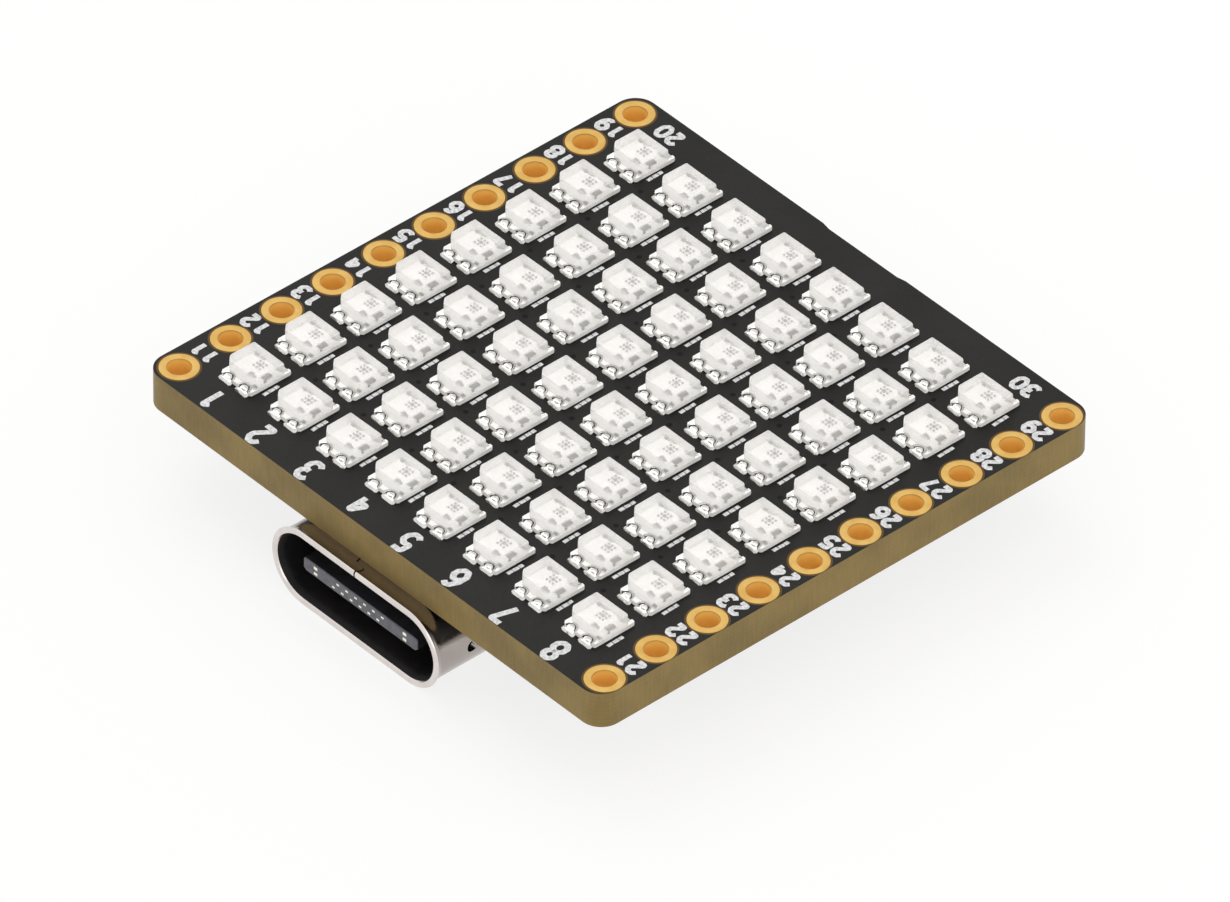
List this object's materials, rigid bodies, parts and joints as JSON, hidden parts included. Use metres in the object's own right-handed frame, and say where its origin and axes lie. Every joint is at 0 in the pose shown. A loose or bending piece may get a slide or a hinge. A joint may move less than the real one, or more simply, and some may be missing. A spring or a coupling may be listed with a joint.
{
  "type": "led matrix board",
  "caption": "Square black circuit board with a grid of small white addressable LEDs, plated header holes along two edges and a USB-C socket under the third.",
  "frame": {"origin": "centre of the header hole pattern, on the board's LED face", "axes": "+Z out of the LED face, +X across the two header rows, and the USB socket opens towards -Y"},
  "size_m": [0.0256, 0.0256, 0.0057],
  "materials": {
    "solder_mask": "satin black solder mask",
    "led_laminate": "matt white laminate",
    "led_resin": "satin milky resin",
    "solder": "bright reflowed solder",
    "usb_steel": "polished nickel on steel",
    "usb_insulator": "matt moulded polymer",
    "contact_metal": "gold plate",
    "package_resin": "matt moulded resin",
    "lead_metal": "matt tin plate",
    "ferrite": "matt",
    "chip_ceramic": "matt",
    "capacitor_ceramic": "matt",
    "crystal_metal": "satin",
    "button_plastic": "matt",
    "plunger_plastic": "matt",
    "button_steel": "satin"
  },
  "bodies": {
    "board": {"circuit_board": "solder_mask", "led_bases_row_1": "led_laminate", "led_lenses_row_1": "led_resin", "led_terminals_row_1": "solder", "led_bases_row_2": "led_laminate", "led_lenses_row_2": "led_resin", "led_terminals_row_2": "solder", "led_bases_row_3": "led_laminate", "led_lenses_row_3": "led_resin", "led_terminals_row_3": "solder", "led_bases_row_4": "led_laminate", "led_lenses_row_4": "led_resin", "led_terminals_row_4": "solder", "led_bases_row_5": "led_laminate", "led_lenses_row_5": "led_resin", "led_terminals_row_5": "solder", "led_bases_row_6": "led_laminate", "led_lenses_row_6": "led_resin", "led_terminals_row_6": "solder", "led_bases_row_7": "led_laminate", "led_lenses_row_7": "led_resin", "led_terminals_row_7": "solder", "led_bases_row_8": "led_laminate", "led_lenses_row_8": "led_resin", "led_terminals_row_8": "solder", "usb_shell": "usb_steel", "usb_mid_plate": "usb_steel", "usb_insulator": "usb_insulator", "usb_contacts_upper": "contact_metal", "usb_contacts_lower": "contact_metal", "controller": "package_resin", "flash_memory": "package_resin", "regulator_body": "package_resin", "regulator_leads": "lead_metal", "inductor": "ferrite", "crystal_base": "chip_ceramic", "crystal_lid": "crystal_metal", "capacitors": "capacitor_ceramic", "resistors": "chip_ceramic", "boot_button_base": "button_plastic", "boot_button_dome": "button_steel", "boot_button_cover": "button_steel", "boot_button_leads": "lead_metal", "reset_button_base": "button_plastic", "reset_button_dome": "button_steel", "reset_button_cover": "button_steel", "reset_button_leads": "lead_metal"},
    "boot_plunger": {"boot_button_plunger": "plunger_plastic"},
    "reset_plunger": {"reset_button_plunger": "plunger_plastic"}
  },
  "joints": [
    {"name": "boot_press", "type": "slide", "parent": "board", "child": "boot_plunger", "axis": [0, 0, 1], "range_m": [0, 0.0002], "stiffness_N_per_m": 6400},
    {"name": "reset_press", "type": "slide", "parent": "board", "child": "reset_plunger", "axis": [0, 0, 1], "range_m": [0, 0.0002], "stiffness_N_per_m": 6400}
  ]
}
